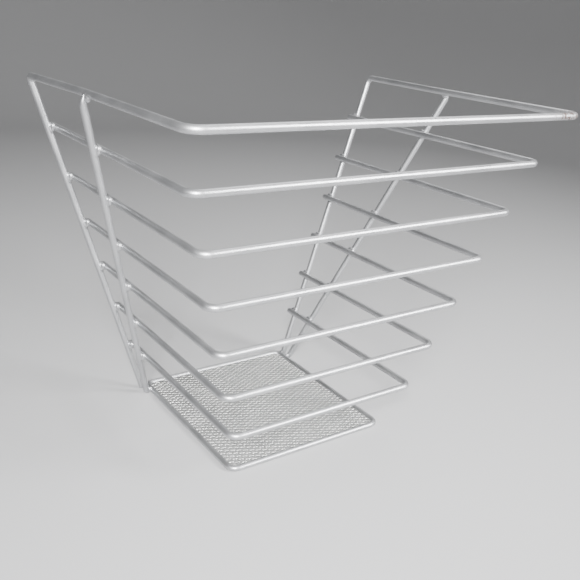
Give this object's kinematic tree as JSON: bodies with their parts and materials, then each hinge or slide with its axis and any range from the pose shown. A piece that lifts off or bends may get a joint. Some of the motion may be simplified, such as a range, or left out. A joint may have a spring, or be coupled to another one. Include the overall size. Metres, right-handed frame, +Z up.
{
  "type": "desktop file sorter",
  "caption": "Welded wire sorter that stands files upright in widening, tilted slots between stacked U-shaped rails above a small expanded-metal tray.",
  "frame": {"origin": "on the desk, under the centre of the whole object's box", "axes": "+Z up, +X to the right, -Y to the front, the closed side of the rails; the struts are at the rear, +Y"},
  "size_m": [0.3154, 0.2454, 0.2717],
  "materials": {
    "silver_wire": "silver powder coat, satin, with fine metallic grain",
    "silver_mesh": "silver powder coat, satin, over expanded metal"
  },
  "bodies": {
    "root": {"base_frame": "silver_wire", "mesh_sheet": "silver_mesh", "main_frame": "silver_wire", "rail_1": "silver_wire", "rail_2": "silver_wire", "rail_3": "silver_wire", "rail_4": "silver_wire", "rail_5": "silver_wire", "rail_6": "silver_wire", "front_strut_left": "silver_wire", "front_strut_right": "silver_wire"}
  },
  "joints": []
}
